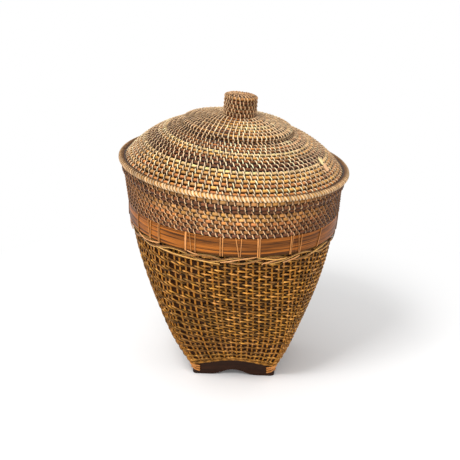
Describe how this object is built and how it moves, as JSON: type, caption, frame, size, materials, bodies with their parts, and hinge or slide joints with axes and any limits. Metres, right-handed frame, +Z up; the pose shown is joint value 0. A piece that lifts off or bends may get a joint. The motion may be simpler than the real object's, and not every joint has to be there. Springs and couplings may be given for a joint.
{
  "type": "lidded storage basket",
  "caption": "Tall storage basket woven from a square wooden foot to a round shoulder, with a coiled neck and a stepped, coiled lift-off lid with a knob.",
  "frame": {"origin": "on the floor the basket stands on, under the middle of the lid's hoop; the middle of the foot lies 3.3 mm to the right of it (+X)", "axes": "+Z up, front towards -Y, +X to the right, which is the way the mouth leans"},
  "size_m": [0.401, 0.402, 0.5032],
  "materials": {
    "base_board_front_finish": "dark stained wood, dull",
    "base_board_back_finish": "dark stained wood, dull",
    "base_board_left_finish": "dark stained wood, dull",
    "base_board_right_finish": "dark stained wood, dull",
    "woven_floor_finish": "brown cane, satin",
    "woven_wall_finish": "brown cane, satin",
    "corner_lashing_front_left_finish": "split cane, satin",
    "corner_lashing_front_right_finish": "split cane, satin",
    "corner_lashing_back_left_finish": "split cane, satin",
    "corner_lashing_back_right_finish": "split cane, satin",
    "inner_band_finish": "stained bentwood, satin",
    "shoulder_band_finish": "stained bentwood, satin",
    "band_lashing_01_finish": "split cane, satin",
    "band_lashing_02_finish": "split cane, satin",
    "band_lashing_03_finish": "split cane, satin",
    "band_lashing_04_finish": "split cane, satin",
    "band_lashing_05_finish": "split cane, satin",
    "band_lashing_06_finish": "split cane, satin",
    "band_lashing_07_finish": "split cane, satin",
    "band_lashing_08_finish": "split cane, satin",
    "band_lashing_09_finish": "split cane, satin",
    "band_lashing_10_finish": "split cane, satin",
    "band_lashing_11_finish": "split cane, satin",
    "band_lashing_12_finish": "split cane, satin",
    "band_lashing_13_finish": "split cane, satin",
    "band_lashing_14_finish": "split cane, satin",
    "band_lashing_15_finish": "split cane, satin",
    "band_lashing_16_finish": "split cane, satin",
    "band_lashing_17_finish": "split cane, satin",
    "band_lashing_18_finish": "split cane, satin",
    "band_lashing_19_finish": "split cane, satin",
    "band_lashing_20_finish": "split cane, satin",
    "crossed_strand_1_finish": "split cane, satin",
    "crossed_strand_2_finish": "split cane, satin",
    "coiled_neck_finish": "brown cane, satin",
    "mouth_collar_finish": "golden cane, satin",
    "lid_rim_hoop_finish": "pale cane, satin",
    "lid_skirt_finish": "brown cane, satin",
    "lid_tier_finish": "golden cane, satin",
    "lid_crown_finish": "golden cane, satin",
    "knob_wall_finish": "brown cane, satin",
    "knob_cap_finish": "golden cane, satin",
    "lid_splice_finish": "pale cane, satin"
  },
  "bodies": {
    "basket": {"base_board_front": "base_board_front_finish", "base_board_back": "base_board_back_finish", "base_board_left": "base_board_left_finish", "base_board_right": "base_board_right_finish", "woven_floor": "woven_floor_finish", "woven_wall": "woven_wall_finish", "corner_lashing_front_left": "corner_lashing_front_left_finish", "corner_lashing_front_right": "corner_lashing_front_right_finish", "corner_lashing_back_left": "corner_lashing_back_left_finish", "corner_lashing_back_right": "corner_lashing_back_right_finish", "inner_band": "inner_band_finish", "shoulder_band": "shoulder_band_finish", "band_lashing_01": "band_lashing_01_finish", "band_lashing_02": "band_lashing_02_finish", "band_lashing_03": "band_lashing_03_finish", "band_lashing_04": "band_lashing_04_finish", "band_lashing_05": "band_lashing_05_finish", "band_lashing_06": "band_lashing_06_finish", "band_lashing_07": "band_lashing_07_finish", "band_lashing_08": "band_lashing_08_finish", "band_lashing_09": "band_lashing_09_finish", "band_lashing_10": "band_lashing_10_finish", "band_lashing_11": "band_lashing_11_finish", "band_lashing_12": "band_lashing_12_finish", "band_lashing_13": "band_lashing_13_finish", "band_lashing_14": "band_lashing_14_finish", "band_lashing_15": "band_lashing_15_finish", "band_lashing_16": "band_lashing_16_finish", "band_lashing_17": "band_lashing_17_finish", "band_lashing_18": "band_lashing_18_finish", "band_lashing_19": "band_lashing_19_finish", "band_lashing_20": "band_lashing_20_finish", "crossed_strand_1": "crossed_strand_1_finish", "crossed_strand_2": "crossed_strand_2_finish", "coiled_neck": "coiled_neck_finish", "mouth_collar": "mouth_collar_finish"},
    "lid": {"lid_rim_hoop": "lid_rim_hoop_finish", "lid_skirt": "lid_skirt_finish", "lid_tier": "lid_tier_finish", "lid_crown": "lid_crown_finish", "knob_wall": "knob_wall_finish", "knob_cap": "knob_cap_finish", "lid_splice": "lid_splice_finish"}
  },
  "joints": [
    {"name": "lid_lift", "type": "slide", "parent": "basket", "child": "lid", "axis": [0.0819, 0, 0.9966], "range_m": [0, 0.12]}
  ]
}
